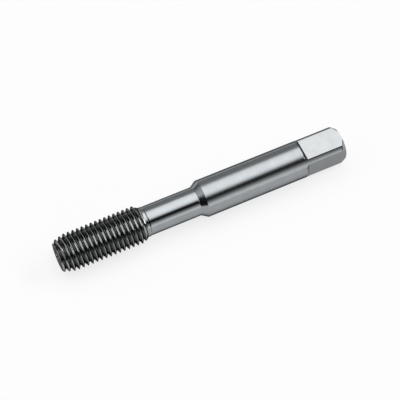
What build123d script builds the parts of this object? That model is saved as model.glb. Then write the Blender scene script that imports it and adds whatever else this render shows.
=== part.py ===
from build123d import *
import math
import os

# Thread-forming tap, M10 x 1.25: one piece of ground high-speed steel.
# It lies along X as it rests on a table, with the threaded tip at -X, the square drive
# at +X, and two of the square's flats level. Every x below counts from the tip face.

# Lengths along the tool, in millimetres
overall_length = 80.0
thread_length = 23.6
back_chamfer_length = 1.4
runout_groove_position = 24.45
neck_end = 38.45
taper_length = 1.7
square_length = 11.4
end_chamfer_length = 1.1

# Diameters, and how far the tip, the land and the neck step down inside the thread
thread_diameter = 10.0
tip_step = 1.0
land_step = 0.43
neck_step = 0.075
shank_diameter = 10.0
square_across_flats = 8.0
end_face_diameter = 8.2

# 60 degree metric thread, right hand, with its whole form drawn in over the lead. The
# middle of the groove crosses the +Y side this far from the tip face.
pitch = 1.25
groove_start = 0.26
flank_angle = 30.0
crest_width_in_pitches = 0.25
root_width_in_pitches = 0.2
lead_in_pitches = 2.5
lead_root_drop = 0.5

# Forming lobes: the section swells six times a turn, with a lobe straight up
lobe_count = 6
lobe_relief = 0.08
lobe_direction = 90.0

# The crowned end, the wheel's run-out at the flats, and its fine groove on the neck
end_crown = 0.05
square_runout_radius = 0.5
runout_groove_width = 0.3
runout_groove_depth = 0.08

# 60 degree centre holes in both end faces
centre_mouth_diameter = 1.8
centre_pilot_diameter = 0.8
centre_pilot_depth = 2.0
centre_half_angle = 30.0

# How finely the lobed sections and the helical edges are drawn
points_per_turn = 24
seam_angle = 20.0
cut_margin = 1.0

flank_slope = math.tan(math.radians(flank_angle))
crest_width = crest_width_in_pitches * pitch
root_width = root_width_in_pitches * pitch
thread_depth = (pitch - crest_width - root_width) / 2 / flank_slope
thread_radius = thread_diameter / 2
tip_radius = thread_radius - tip_step
root_radius = thread_radius - thread_depth
land_radius = root_radius - land_step
neck_radius = land_radius - neck_step
shank_radius = shank_diameter / 2
flat_height = square_across_flats / 2
lead_length = lead_in_pitches * pitch
taper_end = neck_end + taper_length
square_start = overall_length - square_length


def relief(angle):
    """How far the lobed section lies inside its full radius at an angle."""
    phase = lobe_count * (angle - math.radians(lobe_direction))
    return lobe_relief * (1 - math.cos(phase)) / 2


def lobed_section(x, radius):
    """Closed lobed outline across the tool, as a face at one x."""
    points = []
    for k in range(points_per_turn):
        angle = math.tau * k / points_per_turn
        reach = radius - relief(angle)
        points.append((reach * math.cos(angle), reach * math.sin(angle)))
    return Plane.YZ.offset(x) * make_face(Spline(*points, periodic=True))


def thread_blank():
    """Lobed stock of the thread: conical lead, full length and a back chamfer.

    The back chamfer runs on inside the neck, so that the neck's face meets it cleanly.
    """
    chamfer_start = thread_length - back_chamfer_length
    chamfer_drop = (thread_radius - land_radius) / back_chamfer_length
    sections = [
        lobed_section(0, tip_radius),
        lobed_section(lead_length, thread_radius),
        lobed_section(chamfer_start, thread_radius),
        lobed_section(thread_length + cut_margin, land_radius - chamfer_drop * cut_margin),
    ]
    return loft(sections, ruled=True)


def turned_body():
    """Land, neck, taper and shank in one revolve that starts inside the thread's end."""
    core_start = thread_length - back_chamfer_length
    shank_end = (overall_length - end_chamfer_length, shank_radius)
    end_rim = (overall_length, end_face_diameter / 2)
    sides = Polyline(
        (core_start, 0),
        (core_start, land_radius),
        (runout_groove_position, land_radius),
        (runout_groove_position, neck_radius),
        (neck_end, neck_radius),
        (taper_end, shank_radius),
        shank_end,
    )
    rounded_end = SagittaArc(shank_end, end_rim, -end_crown)
    inside = Polyline(end_rim, (overall_length, 0), (core_start, 0))
    return revolve(make_face([sides, rounded_end, inside]), Axis.X)


def runout_groove():
    """Ring cutter for the shallow V where the land meets the neck."""
    half = runout_groove_width / 2
    outside = land_radius + runout_groove_depth
    reach = half * (outside - neck_radius + runout_groove_depth) / runout_groove_depth
    ring = Polyline(
        (runout_groove_position, neck_radius - runout_groove_depth),
        (runout_groove_position + reach, outside),
        (runout_groove_position - reach, outside),
        close=True,
    )
    return revolve(make_face(ring), Axis.X)


def helical_edge(offset, radius, turn):
    """One turn of a groove edge, drawn in towards the tip over the lead."""
    points = []
    for k in range(points_per_turn + 1):
        angle = math.tau * (turn + k / points_per_turn) + math.radians(seam_angle)
        x = groove_start + pitch * angle / math.tau
        drop = lead_root_drop * max(0, 1 - x / lead_length)
        reach = radius - relief(angle) - drop
        points.append(Vector(x + offset, reach * math.cos(angle), reach * math.sin(angle)))
    return Edge.make_spline(points)


def groove_turn(turn):
    """One turn of the thread groove: a trapezium carried along the helix."""
    above_crest = crest_width / (4 * flank_slope)
    mouth = thread_radius + above_crest
    root_half = root_width / 2
    mouth_half = root_half + (thread_depth + above_crest) * flank_slope
    edges = [
        helical_edge(-root_half, root_radius, turn),
        helical_edge(root_half, root_radius, turn),
        helical_edge(mouth_half, mouth, turn),
        helical_edge(-mouth_half, mouth, turn),
    ]
    faces = [Face.make_surface_from_curves(a, b) for a, b in zip(edges, edges[1:] + edges[:1])]
    for end in (0, 1):
        faces.append(Face(Wire.make_polygon([edge @ end for edge in edges], close=True)))
    return Solid(Shell(faces))


def flat_cutter():
    """Block above one flat of the square, rounded where the wheel runs out."""
    far = overall_length + cut_margin
    high = shank_radius + cut_margin
    corners = [(square_start, flat_height), (far, flat_height), (far, high), (square_start, high)]
    profile = FilletPolyline(*corners, radius=[square_runout_radius, 0, 0, 0], close=True)
    return extrude(Plane.XZ * make_face(profile), 2 * high, both=True)


def centre_hole():
    """Centre hole that opens at x = 0 and goes in along +X: a cone mouth and a pilot."""
    mouth = centre_mouth_diameter / 2
    pilot = centre_pilot_diameter / 2
    cone_depth = (mouth - pilot) / math.tan(math.radians(centre_half_angle))
    profile = Polyline(
        (0, 0),
        (0, mouth),
        (cone_depth, pilot),
        (centre_pilot_depth, pilot),
        (centre_pilot_depth, 0),
        close=True,
    )
    return revolve(make_face(profile), Axis.X)


blank = thread_blank() + turned_body()
turns = range(-1, math.ceil(thread_length / pitch) + 1)
tap = blank.cut(*[groove_turn(turn) for turn in turns])
tap -= runout_groove()
for side in range(4):
    tap -= Rot(90 * side, 0, 0) * flat_cutter()
tap -= centre_hole()
tap -= Pos(overall_length, 0, 0) * Rot(0, 180, 0) * centre_hole()

# At rest: middle of the length at X = 0, lowest line of the shank or thread on Z = 0
rest_height = max(shank_radius, thread_radius)
forming_tap = Pos(-overall_length / 2, 0, rest_height) * tap

os.makedirs("parts", exist_ok=True)
export_step(forming_tap, "parts/forming_tap.step")
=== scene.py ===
import math

import bpy
import numpy as np
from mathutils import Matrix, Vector


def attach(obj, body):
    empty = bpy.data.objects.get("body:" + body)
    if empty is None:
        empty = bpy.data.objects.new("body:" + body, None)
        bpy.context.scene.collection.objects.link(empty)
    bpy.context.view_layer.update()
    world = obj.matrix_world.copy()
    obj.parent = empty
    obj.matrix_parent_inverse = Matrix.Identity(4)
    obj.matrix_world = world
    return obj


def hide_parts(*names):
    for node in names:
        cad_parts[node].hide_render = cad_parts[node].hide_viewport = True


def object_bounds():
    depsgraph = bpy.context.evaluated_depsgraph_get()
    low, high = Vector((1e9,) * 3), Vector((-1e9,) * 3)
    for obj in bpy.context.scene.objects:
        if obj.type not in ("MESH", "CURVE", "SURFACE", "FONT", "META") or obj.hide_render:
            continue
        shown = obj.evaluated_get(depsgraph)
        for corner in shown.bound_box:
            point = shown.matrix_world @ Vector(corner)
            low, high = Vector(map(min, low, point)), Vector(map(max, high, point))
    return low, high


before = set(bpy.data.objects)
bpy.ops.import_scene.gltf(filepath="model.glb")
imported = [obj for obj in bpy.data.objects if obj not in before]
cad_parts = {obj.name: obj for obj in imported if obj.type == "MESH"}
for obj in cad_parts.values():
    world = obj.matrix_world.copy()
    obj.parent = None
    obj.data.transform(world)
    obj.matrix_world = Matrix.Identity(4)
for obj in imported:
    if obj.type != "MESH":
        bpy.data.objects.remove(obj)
cad_low, cad_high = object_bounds()

# ---- The tap ------------------------------------------------------------------------
# One bar of high-speed steel, turned, hardened and then ground all over: a lobed thread
# for pressing out an M10 thread, a slim neck, a shank and a square for the wrench.
# Its skin is one surface of rings, from the bottom of one centre hole to the other's.

# Sizes are in millimetres and every x counts from the tip's face.
MM = 0.001
OVERALL = 80.0
SHANK_R = 5.0

# The thread is right-hand and nearly sharp at its root, with six low lobes a turn, one of
# them straight up. The middle of its groove crosses the +Y side at GROOVE_START.
PITCH = 1.25
THREAD_R = 5.0
FLANK_ANGLE = math.radians(30.0)
ROOT_R = 4.03
ROOT_HALF_WIDTH = 0.02
GROOVE_START = 0.26
LEAD = 2.5 * PITCH
TIP_R = 4.0
TIP_ROOT_DROP = 0.75
CHAMFER_START = 22.2
CHAMFER_END = 23.6
LAND_R = 3.975
LOBES = 6
LOBE_RELIEF = 0.08
LOBE_TURN = 0.25

# The heights over which the corners between the thread's faces are rounded.
FORM_SOFTNESS = 0.06
LEAD_SOFTNESS = 0.05
CHAMFER_SOFTNESS = 0.08


def soft_min(a, b, k):
    """The lower of a and b, with the corner where they cross rounded over a height k."""
    return np.minimum(a, b) - np.maximum(k - np.abs(a - b), 0.0) ** 2 / (4.0 * k)


def thread_reach(x, turn):
    """Radius of the thread at x mm from the tip and at an angle in turns round the axis.

    The lower of two shapes: the stock, which is a cone over the lead, a cylinder and a back
    chamfer, and a V groove whose middle moves one pitch along for each turn. The groove's
    root falls towards the tip over the lead. Both lie in by the lobes' relief. Past the
    chamfer's start the radius never falls below the land's.
    """
    from_root = np.abs(((x - GROOVE_START) / PITCH - turn + 0.5) % 1.0 - 0.5) * PITCH
    stock = soft_min(TIP_R + (THREAD_R - TIP_R) * x / LEAD, THREAD_R, LEAD_SOFTNESS)
    chamfer_slope = (THREAD_R - LAND_R) / (CHAMFER_END - CHAMFER_START)
    stock = soft_min(stock, THREAD_R - chamfer_slope * (x - CHAMFER_START), CHAMFER_SOFTNESS)
    flank_height = (from_root - ROOT_HALF_WIDTH) / math.tan(FLANK_ANGLE)
    rise = -soft_min(0.0, -flank_height, FORM_SOFTNESS)
    groove = ROOT_R - TIP_ROOT_DROP * np.maximum(0.0, 1.0 - x / LEAD) + rise
    relief = LOBE_RELIEF * (1.0 - np.cos(2.0 * np.pi * LOBES * (turn - LOBE_TURN))) / 2.0
    body = soft_min(stock, groove, FORM_SOFTNESS) - relief
    return np.maximum(body, np.where(x > CHAMFER_START, LAND_R, 0.0))


# The square's flats end at the shank in a low wall, from which the wheel's curve runs down
# to the full depth. The wall's foot is WALL_FOOT_H above the axis.
FLAT_H = 4.0
WALL_FOOT_H = 4.5
RUNOUT_R = 1.0
RUNOUT_END = OVERALL - 10.9
RUNOUT_FROM = math.asin(1.0 - (WALL_FOOT_H - FLAT_H) / RUNOUT_R)
SQUARE_X = RUNOUT_END - RUNOUT_R * math.cos(RUNOUT_FROM)


def columns(edge):
    """Angles of the columns in turns, for a ring whose flats reach edge radians each side.

    Each quarter has a run over a flat and a run over a corner, so that the lines along the
    tool follow the edges of the square exactly.
    """
    flat = edge * np.linspace(-1.0, 1.0, 20)
    corner = edge + (np.pi / 2 - 2 * edge) * np.linspace(0.0, 1.0, 15)[1:-1]
    quarter = np.concatenate([flat, corner])
    return np.concatenate([quarter + k * np.pi / 2 for k in range(4)]) / (2.0 * np.pi)


# The round parts take the columns that the flats have at their wall, which are spaced almost
# evenly, so the lines run straight along the neck and shank to the square.
TURN = columns(math.acos(WALL_FOOT_H / SHANK_R))
COLS = TURN.size


def ring(x, reach, turn=TURN):
    """One ring of points: x along the tool and a radius at each angle."""
    angle = 2.0 * np.pi * turn
    reach = np.broadcast_to(reach, angle.shape)
    along = np.broadcast_to(x, angle.shape)
    return np.stack([along, reach * np.cos(angle), reach * np.sin(angle)], -1)


# The thread's grid lies between two plain rings. Its lines stand closest at the root and at
# the crest: ROOT_TO_CREST is how far each lies from the middle of the groove.
GRID_START = 0.12
GRID_END = 23.95
ROOT_TO_CREST = np.array([0.015, 0.035, 0.06, 0.10, 0.22, 0.36, 0.48, 0.53, 0.565, 0.595])


def thread_grid():
    """Points and quads of the thread, and the point numbers of its first and last ring.

    A grid sheared along the helix: on each line x is a start plus a pitch for each turn, so
    that crest and root keep their own lines, and a line's last column meets the first column
    of the line one pitch on. Points past either end give way to one ring there, which cuts
    the grid square.
    """
    spacing = np.concatenate([[0.0], ROOT_TO_CREST, [PITCH / 2], PITCH - ROOT_TO_CREST[::-1]])
    turns = math.ceil(GRID_END / PITCH) + 2
    starts = (np.arange(turns)[:, None] * PITCH - PITCH + GROOVE_START + spacing).ravel()
    x = starts[:, None] + PITCH * TURN
    angle = 2.0 * np.pi * TURN
    reach = thread_reach(x, TURN)
    grid = np.stack([x, reach * np.cos(angle), reach * np.sin(angle)], -1).reshape(-1, 3)
    end_rings = [ring(end, thread_reach(end, TURN)) for end in (GRID_START, GRID_END)]
    first_ring = x.size + np.arange(COLS)
    last_ring = first_ring + COLS
    number = np.arange(x.size).reshape(x.shape)
    number = np.where(x <= GRID_START, first_ring, np.where(x >= GRID_END, last_ring, number))
    pitch_on = np.vstack([number[spacing.size:], np.full((spacing.size, COLS), -1)])
    right = np.concatenate([number[:, 1:], pitch_on[:, :1]], axis=1)
    quads = np.stack([number[:-1], right[:-1], right[1:], number[1:]], -1).reshape(-1, 4)
    quads = quads[(quads >= 0).all(axis=1)]
    return np.concatenate([grid] + end_rings), quads, first_ring, last_ring


# Both end faces have a 60 degree centre hole, on which the tool is held while it is ground.
CENTRE_ANGLE = math.radians(30.0)
CENTRE_MOUTH_R = 0.9
CENTRE_PILOT_R = 0.4
CENTRE_DEPTH = 2.0
TIP_EDGE = 0.10


def centre_hole(face_x, inward, turn=TURN):
    """Rings of a centre hole from its rim in: the cone's mouth, the pilot's rim and its floor."""
    cone = (CENTRE_MOUTH_R - CENTRE_PILOT_R) / math.tan(CENTRE_ANGLE)
    steps = [(0.0, CENTRE_MOUTH_R), (cone, CENTRE_PILOT_R), (CENTRE_DEPTH, CENTRE_PILOT_R)]
    return [ring(face_x + inward * depth, r, turn) for depth, r in steps]


tip_width = thread_reach(GRID_START, TURN) - TIP_EDGE - CENTRE_MOUTH_R
tip_face = [ring(0.0, CENTRE_MOUTH_R + tip_width * part) for part in (0.35, 0.7, 1.0)]
front_rings = centre_hole(0.0, 1.0)[::-1] + tip_face


def rounded(points, radii, steps):
    """Points of a profile (x, r) with its corners replaced by arcs of the given radii.

    Each arc starts and ends where it touches the two sides, a radius over the tangent of half
    the corner's angle away, and swings evenly between them about its centre.
    """
    out = [np.array(points[0])[None]]
    for before, corner, after, radius in zip(points, points[1:], points[2:], radii):
        to_before = np.subtract(before, corner) / np.linalg.norm(np.subtract(before, corner))
        to_after = np.subtract(after, corner) / np.linalg.norm(np.subtract(after, corner))
        half = math.acos(np.clip(to_before @ to_after, -1, 1)) / 2
        middle_way = (to_before + to_after) / np.linalg.norm(to_before + to_after)
        centre = corner + middle_way * radius / math.sin(half)
        touch = radius / math.tan(half)
        first = corner + to_before * touch - centre
        last = corner + to_after * touch - centre
        swing = math.pi - 2 * half
        t = np.linspace(0.0, 1.0, steps)[:, None]
        arc = (np.sin((1 - t) * swing) * first + np.sin(t * swing) * last) / math.sin(swing)
        out.append(centre + arc)
    out.append(np.array(points[-1])[None])
    return np.concatenate(out)


# The land behind the thread, a fine ring groove from the wheel's edge, the neck, its taper
# and the shank up to the wall of the flats. Two more rings close before the wall keep the
# shank's smooth shading even up to it.
LAND_END = 24.30
RING_GROOVE_X = 24.37
RING_GROOVE_R = 3.72
NECK_START = 24.66
NECK_END = 38.45
NECK_R = 3.9
TAPER_END = 40.15
neck_profile = rounded(
    [(GRID_END + 0.1, LAND_R), (LAND_END, LAND_R), (RING_GROOVE_X, RING_GROOVE_R),
     (NECK_START, NECK_R), (NECK_END, NECK_R), (TAPER_END, SHANK_R), (SQUARE_X, SHANK_R)],
    [0.03, 0.03, 0.03, 0.5, 0.12], 7)
before_wall = [(SQUARE_X - 0.6, SHANK_R), (SQUARE_X - 0.2, SHANK_R)]
neck_profile = np.insert(neck_profile, -1, before_wall, axis=0)
neck_rings = [ring(x, r) for x, r in neck_profile]

# The square: the wheel's run-out, the flats and the rounded end, whose rings stop where the
# end's curve comes down to the flats.
END_START = 78.4
END_CURVE_X = 78.85
END_RIM_R = 4.15
END_FACE_R = 3.6
SQUARE_EDGE = 0.03


def square_ring(x, r, h):
    """A ring of a round bar of radius r with four flats h from its axis.

    The reach is the lower of r and of h over the cosine of the angle from the middle of the
    nearest flat, with the edge between them softened.
    """
    turn = columns(math.acos(h / r))
    from_middle = (2 * np.pi * turn + np.pi / 4) % (np.pi / 2) - np.pi / 4
    return ring(x, soft_min(r, h / np.cos(from_middle), SQUARE_EDGE), turn)


sweep = np.linspace(RUNOUT_FROM, math.pi / 2, 10)
runout_x = RUNOUT_END - RUNOUT_R * np.cos(sweep)
runout_h = FLAT_H + RUNOUT_R * (1.0 - np.sin(sweep))
flats_x = np.linspace(RUNOUT_END + 0.2, END_START, 6)
end = rounded(
    [(END_START, SHANK_R), (END_CURVE_X, SHANK_R), (OVERALL, END_RIM_R), (OVERALL, END_FACE_R)],
    [0.9, 0.35], 9)[1:]
end = end[end[:, 1] > FLAT_H + 0.02]
square_rings = [square_ring(x, SHANK_R, h) for x, h in zip(runout_x, runout_h)]
square_rings += [square_ring(x, SHANK_R, FLAT_H) for x in flats_x]
square_rings += [square_ring(x, r, FLAT_H) for x, r in end]

end_turn = columns(math.acos(FLAT_H / end[-1, 1]))
end_mouth = ring(OVERALL, CENTRE_MOUTH_R, end_turn)
end_face = [end_mouth + (square_rings[-1] - end_mouth) * part for part in (0.985, 0.7, 0.35)]
for row in end_face:
    row[:, 0] = OVERALL
back_rings = neck_rings + square_rings + end_face + centre_hole(OVERALL, -1.0, end_turn)


def band(first, second):
    """Quads between two closed rings, each given by the numbers of its points."""
    return np.stack([first, np.roll(first, -1), np.roll(second, -1), second], -1)


# All rings are joined in order, quads are cut into triangles, and a centre point closes the
# floor of each hole. Triangles that the pulled-in lines leave without width are dropped.
thread_points, quads, first_ring, last_ring = thread_grid()
hole_floors = [[CENTRE_DEPTH, 0.0, 0.0], [OVERALL - CENTRE_DEPTH, 0.0, 0.0]]
points = np.concatenate([thread_points] + front_rings + back_rings + [hole_floors])
plain_rings = np.arange(len(thread_points), len(points) - 2).reshape(-1, COLS)
front_chain = [*plain_rings[:len(front_rings)], first_ring]
back_chain = [last_ring, *plain_rings[len(front_rings):]]
bands = [band(p, q) for chain in (front_chain, back_chain) for p, q in zip(chain, chain[1:])]
quads = np.concatenate([quads] + bands)
front_floor = np.full(COLS, len(points) - 2)
back_floor = np.full(COLS, len(points) - 1)
tris = np.concatenate([
    quads[:, [0, 1, 2]],
    quads[:, [0, 2, 3]],
    np.stack([front_floor, np.roll(front_chain[0], -1), front_chain[0]], -1),
    np.stack([back_floor, back_chain[-1], np.roll(back_chain[-1], -1)], -1),
])
tris = tris[(tris != np.roll(tris, 1, axis=1)).all(axis=1)]
used, tris = np.unique(tris, return_inverse=True)
tris = tris.reshape(-1, 3)
points = (points[used] - [OVERALL / 2, 0.0, -SHANK_R]) * MM

SHARP_FROM = math.radians(32.0)
tap_mesh = bpy.data.meshes.new("tap_body")
tap_mesh.vertices.add(len(points))
tap_mesh.vertices.foreach_set("co", points.ravel())
tap_mesh.loops.add(tris.size)
tap_mesh.loops.foreach_set("vertex_index", tris.ravel())
tap_mesh.polygons.add(len(tris))
tap_mesh.polygons.foreach_set("loop_start", np.arange(0, tris.size, 3))
tap_mesh.polygons.foreach_set("use_smooth", np.ones(len(tris), dtype=bool))
tap_mesh.update(calc_edges=True)
tap_mesh.validate()
tap_mesh.set_sharp_from_angle(angle=SHARP_FROM)
tap = bpy.data.objects.new("tap_body", tap_mesh)
bpy.context.scene.collection.objects.link(tap)

# The grinding wheel leaves fine lines along its travel. The group stretches a noise along
# them: round the tool on its turned faces, lengthwise on the flats. Its other output is a
# coarser cloud, the faint mottle of hardened steel.
marks = bpy.data.node_groups.new("grinding_lines", "ShaderNodeTree")
marks.interface.new_socket(name="Across", in_out="INPUT", socket_type="NodeSocketVector")
marks.interface.new_socket(name="Fineness", in_out="INPUT", socket_type="NodeSocketFloat")
marks.interface.new_socket(name="Lines", in_out="OUTPUT", socket_type="NodeSocketFloat")
marks.interface.new_socket(name="Mottle", in_out="OUTPUT", socket_type="NodeSocketFloat")
settings = marks.nodes.new("NodeGroupInput")
results = marks.nodes.new("NodeGroupOutput")
where = marks.nodes.new("ShaderNodeTexCoord")
squeeze = marks.nodes.new("ShaderNodeVectorMath")
squeeze.operation = "MULTIPLY"
marks.links.new(where.outputs["Object"], squeeze.inputs[0])
marks.links.new(settings.outputs["Across"], squeeze.inputs[1])
fine = marks.nodes.new("ShaderNodeTexNoise")
fine.inputs["Detail"].default_value = 3.0
marks.links.new(squeeze.outputs[0], fine.inputs["Vector"])
marks.links.new(settings.outputs["Fineness"], fine.inputs["Scale"])
marks.links.new(fine.outputs["Fac"], results.inputs["Lines"])
cloud = marks.nodes.new("ShaderNodeTexNoise")
cloud.inputs["Scale"].default_value = 420.0
cloud.inputs["Detail"].default_value = 4.0
marks.links.new(where.outputs["Object"], cloud.inputs["Vector"])
marks.links.new(cloud.outputs["Fac"], results.inputs["Mottle"])

# How far the mottle moves the colour, and the lines the roughness, either way.
COLOUR_SPREAD = 0.12
ROUGHNESS_SPREAD = 0.4


def steel(name, colour, roughness, across, fineness, depth, rim_shade_tint=0.1):
    """Ground steel: darker and lighter by the mottle, rougher and lined by the wheel.

    The lines are depth metres deep. The last argument is the tint of what it mirrors at a low angle.
    It is kept far below steel's own, so that the rims mirror darker: painted shade along the outline.
    """
    material = bpy.data.materials.new(name)
    material.use_nodes = True
    nodes = material.node_tree.nodes
    links = material.node_tree.links
    shader = nodes["Principled BSDF"]
    shader.inputs["Metallic"].default_value = 1.0
    # This low tint is painted shade: it darkens what the steel mirrors at a low angle, so that its
    # rims come out dark.
    shader.inputs["Specular Tint"].default_value = (rim_shade_tint, rim_shade_tint, rim_shade_tint, 1)
    group = nodes.new("ShaderNodeGroup")
    group.node_tree = marks
    group.inputs["Across"].default_value = across
    group.inputs["Fineness"].default_value = fineness
    tone = nodes.new("ShaderNodeMix")
    tone.data_type = "RGBA"
    tone.inputs["A"].default_value = tuple((1 - COLOUR_SPREAD) * c for c in colour) + (1,)
    tone.inputs["B"].default_value = tuple((1 + COLOUR_SPREAD) * c for c in colour) + (1,)
    links.new(group.outputs["Mottle"], tone.inputs["Factor"])
    links.new(tone.outputs["Result"], shader.inputs["Base Color"])
    rough = nodes.new("ShaderNodeMapRange")
    rough.inputs["To Min"].default_value = roughness * (1 - ROUGHNESS_SPREAD)
    rough.inputs["To Max"].default_value = roughness * (1 + ROUGHNESS_SPREAD)
    links.new(group.outputs["Lines"], rough.inputs["Value"])
    links.new(rough.outputs["Result"], shader.inputs["Roughness"])
    bump = nodes.new("ShaderNodeBump")
    bump.inputs["Distance"].default_value = depth
    bump.inputs["Strength"].default_value = 1.0
    links.new(group.outputs["Lines"], bump.inputs["Height"])
    links.new(bump.outputs["Normal"], shader.inputs["Normal"])
    return material


# How the lines are stretched: round the tool where it turned against the wheel, and along
# the flats, over which the wheel passed lengthwise.
ROUND = (1.0, 0.03, 0.03)
LENGTHWISE = (0.03, 1.0, 1.0)

# The finishes in the order of their places on the mesh.
NECK, SHANK, FLATS, THREAD = range(4)
tap_mesh.materials.append(steel("ground_neck", (0.300, 0.318, 0.330), 0.09, ROUND, 9000.0, 3e-7))
tap_mesh.materials.append(steel("ground_shank", (0.300, 0.318, 0.330), 0.17, ROUND, 6000.0, 8e-7))
tap_mesh.materials.append(steel("ground_flats", (0.345, 0.356, 0.362), 0.14, LENGTHWISE, 5000.0, 6e-7))
# The thread's tint at a low angle is lower still, which paints its rims darker than the rest.
tap_mesh.materials.append(
    steel("ground_thread", (0.330, 0.334, 0.336), 0.14, ROUND, 9000.0, 2e-7, rim_shade_tint=0.02))

# The shank's finish starts halfway up the taper, and the flats' where the skin lies within
# the round of the shank. The thread's ends on the back chamfer.
THREAD_FINISH_END = 23.5
FLAT_FINISH_R = 4.965
middle = points[tris].mean(axis=1) / MM + [OVERALL / 2, 0.0, -SHANK_R]
from_axis = np.hypot(middle[:, 1], middle[:, 2])
finish = np.full(len(tris), NECK, dtype=np.int32)
finish[middle[:, 0] > (NECK_END + TAPER_END) / 2] = SHANK
finish[(middle[:, 0] > SQUARE_X) & (from_axis < FLAT_FINISH_R)] = FLATS
finish[middle[:, 0] < THREAD_FINISH_END] = THREAD
tap_mesh.polygons.foreach_set("material_index", finish)

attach(tap, "root")
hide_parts("forming_tap")

# ---- The table ----------------------------------------------------------------------
# A wide sheet of matt white paper under the tool. Three quarters of what is seen of it, or
# mirrored in the steel, is its own even white, and the rest is lit and takes the shadow.

# From here on sizes are in metres.
TABLE_HALF = 3.0
TABLE_OWN_WHITE = 0.75
table_corners = [(-TABLE_HALF, -TABLE_HALF, 0), (TABLE_HALF, -TABLE_HALF, 0),
                 (TABLE_HALF, TABLE_HALF, 0), (-TABLE_HALF, TABLE_HALF, 0)]
table_mesh = bpy.data.meshes.new("table")
table_mesh.from_pydata(table_corners, [], [(0, 1, 2, 3)])
table = bpy.data.objects.new("table", table_mesh)
bpy.context.scene.collection.objects.link(table)
paper = bpy.data.materials.new("pale_table")
paper.use_nodes = True
paper_nodes = paper.node_tree.nodes
paper_links = paper.node_tree.links
paper_shader = paper_nodes["Principled BSDF"]
paper_shader.inputs["Base Color"].default_value = (0.96, 0.96, 0.96, 1)
paper_shader.inputs["Roughness"].default_value = 1.0
paper_shader.inputs["Specular IOR Level"].default_value = 0.0
light_path = paper_nodes.new("ShaderNodeLightPath")
seen_or_mirrored = paper_nodes.new("ShaderNodeMath")
seen_or_mirrored.operation = "MAXIMUM"
paper_links.new(light_path.outputs["Is Camera Ray"], seen_or_mirrored.inputs[0])
paper_links.new(light_path.outputs["Is Glossy Ray"], seen_or_mirrored.inputs[1])
seen_at_all = paper_nodes.new("ShaderNodeMath")
seen_at_all.operation = "MAXIMUM"
paper_links.new(seen_or_mirrored.outputs[0], seen_at_all.inputs[0])
paper_links.new(light_path.outputs["Is Transmission Ray"], seen_at_all.inputs[1])
own_share = paper_nodes.new("ShaderNodeMath")
own_share.operation = "MULTIPLY"
own_share.inputs[1].default_value = TABLE_OWN_WHITE
paper_links.new(seen_at_all.outputs[0], own_share.inputs[0])
own_white = paper_nodes.new("ShaderNodeEmission")
paper_mix = paper_nodes.new("ShaderNodeMixShader")
paper_links.new(own_share.outputs[0], paper_mix.inputs[0])
paper_links.new(paper_shader.outputs[0], paper_mix.inputs[1])
paper_links.new(own_white.outputs[0], paper_mix.inputs[2])
paper_links.new(paper_mix.outputs[0], paper_nodes["Material Output"].inputs["Surface"])
table_mesh.materials.append(paper)

# ---- The light ----------------------------------------------------------------------
# The sky is a light tent: a long soft lamp overhead, turned 30 degrees from the tool's length,
# with grey walls below it, dark cards past both ends of the tool, and a narrow bright lamp
# past the shank, which lights one flank of each groove of the thread.

BRIGHTEST = 6.0
SKY_STRENGTH = 1.07 * BRIGHTEST
LAMP_TURN = math.radians(30.0)
sky_world = bpy.data.worlds.new("studio")
bpy.context.scene.world = sky_world
sky_world.use_nodes = True
sky_nodes = sky_world.node_tree.nodes
sky_links = sky_world.node_tree.links
direction = sky_nodes.new("ShaderNodeTexCoord")
axes = sky_nodes.new("ShaderNodeSeparateXYZ")
sky_links.new(direction.outputs["Generated"], axes.inputs[0])
towards_near_side = sky_nodes.new("ShaderNodeVectorMath")
towards_near_side.operation = "DOT_PRODUCT"
towards_near_side.inputs[1].default_value = (math.sin(LAMP_TURN), -math.cos(LAMP_TURN), 0.0)
sky_links.new(direction.outputs["Generated"], towards_near_side.inputs[0])
height_angle = sky_nodes.new("ShaderNodeMath")
height_angle.operation = "ARCTAN2"
sky_links.new(axes.outputs["Z"], height_angle.inputs[0])
sky_links.new(towards_near_side.outputs["Value"], height_angle.inputs[1])
way_over = sky_nodes.new("ShaderNodeMath")
way_over.operation = "DIVIDE"
way_over.inputs[1].default_value = math.pi
sky_links.new(height_angle.outputs[0], way_over.inputs[0])


def grey(level):
    """A level of light as a grey of the sky's ramps, whose white is the brightest."""
    return (level / BRIGHTEST,) * 3 + (1,)


def arch(stops):
    """A ramp of light levels over the sky, from the near horizon, 0 degrees, to the far, 180."""
    ramp = sky_nodes.new("ShaderNodeValToRGB")
    sky_links.new(way_over.outputs[0], ramp.inputs[0])
    elements = ramp.color_ramp.elements
    elements.remove(elements[1])
    elements[0].position = 0.0
    elements[0].color = grey(stops[0][1])
    for degrees, level in stops[1:]:
        elements.new(degrees / 180.0).color = grey(level)
    return ramp


over_the_tool = arch([
    (0, 1.2), (8, 1.35), (15, 1.2), (24, 0.72), (31, 0.38), (39, 0.09), (46, 0.01), (53, 0.01),
    (59, 0.28), (65, 1.15), (71, 1.75), (78, 2.05), (90, 2.17), (102, 2.08), (113, 1.9),
    (119, 1.52), (126, 0.8), (134, 0.44), (145, 0.36), (160, 0.42), (180, 0.33)])
tip_end = arch([
    (0, 0.3), (10, 0.1), (20, 0.01), (108, 0.01), (118, 0.5), (124, 1.0), (135, 0.85),
    (145, 0.75), (155, 0.45), (163, 0.2), (180, 0.2)])
dark_card = arch([(0, 0.3), (15, 0.03), (180, 0.03)])
shank_lamp = arch([
    (0, 0.3), (15, 0.03), (28, 0.03), (34, 5.4), (77, 5.4), (83, 0.03), (180, 0.03)])

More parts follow.
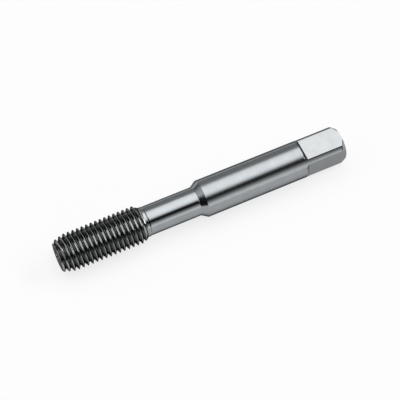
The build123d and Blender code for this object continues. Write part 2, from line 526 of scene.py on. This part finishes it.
# Towards either end of the tool one part of the sky fades into the next. A part starts to
# show where the direction's share along X is the first number, and is alone from the second.
SKY_PARTS = [
    (-0.30, -0.52, tip_end),
    (0.36, 0.46, dark_card),
    (0.66, 0.72, shank_lamp),
    (0.81, 0.85, dark_card),
]
sky = over_the_tool.outputs[0]
for fade_from, fade_to, next_part in SKY_PARTS:
    fade = sky_nodes.new("ShaderNodeMapRange")
    fade.inputs["From Min"].default_value = fade_from
    fade.inputs["From Max"].default_value = fade_to
    sky_links.new(axes.outputs["X"], fade.inputs["Value"])
    mix = sky_nodes.new("ShaderNodeMix")
    mix.data_type = "RGBA"
    sky_links.new(fade.outputs["Result"], mix.inputs["Factor"])
    sky_links.new(sky, mix.inputs["A"])
    sky_links.new(next_part.outputs[0], mix.inputs["B"])
    sky = mix.outputs["Result"]
sky_links.new(sky, sky_nodes["Background"].inputs["Color"])
sky_nodes["Background"].inputs["Strength"].default_value = SKY_STRENGTH

# ---- The camera ---------------------------------------------------------------------
# A long lens 0.4 m from the tool, 25 degrees round towards the tip and 60 degrees up, moved
# a fraction of a millimetre left and down to set where the tool lies in the view.

CAMERA_AZIMUTH = math.radians(-25.0)
CAMERA_ELEVATION = math.radians(60.0)
CAMERA_DISTANCE = 0.4
MOVE_RIGHT = -0.000326
MOVE_UP = -0.000254
camera_data = bpy.data.cameras.new("camera")
camera_data.lens = 139.9
camera_data.sensor_width = 36.0
camera_data.clip_start = 0.01
camera = bpy.data.objects.new("camera", camera_data)
bpy.context.scene.collection.objects.link(camera)
bpy.context.scene.camera = camera
back = Vector((
    math.sin(CAMERA_AZIMUTH) * math.cos(CAMERA_ELEVATION),
    -math.cos(CAMERA_AZIMUTH) * math.cos(CAMERA_ELEVATION),
    math.sin(CAMERA_ELEVATION),
))
right = Vector((0, 0, 1)).cross(back).normalized()
up = back.cross(right)
centre = (cad_low + cad_high) / 2
camera.location = centre + back * CAMERA_DISTANCE + right * MOVE_RIGHT + up * MOVE_UP
camera.rotation_mode = "QUATERNION"
camera.rotation_quaternion = back.to_track_quat("Z", "Y")
bpy.context.scene.view_settings.view_transform = "Standard"
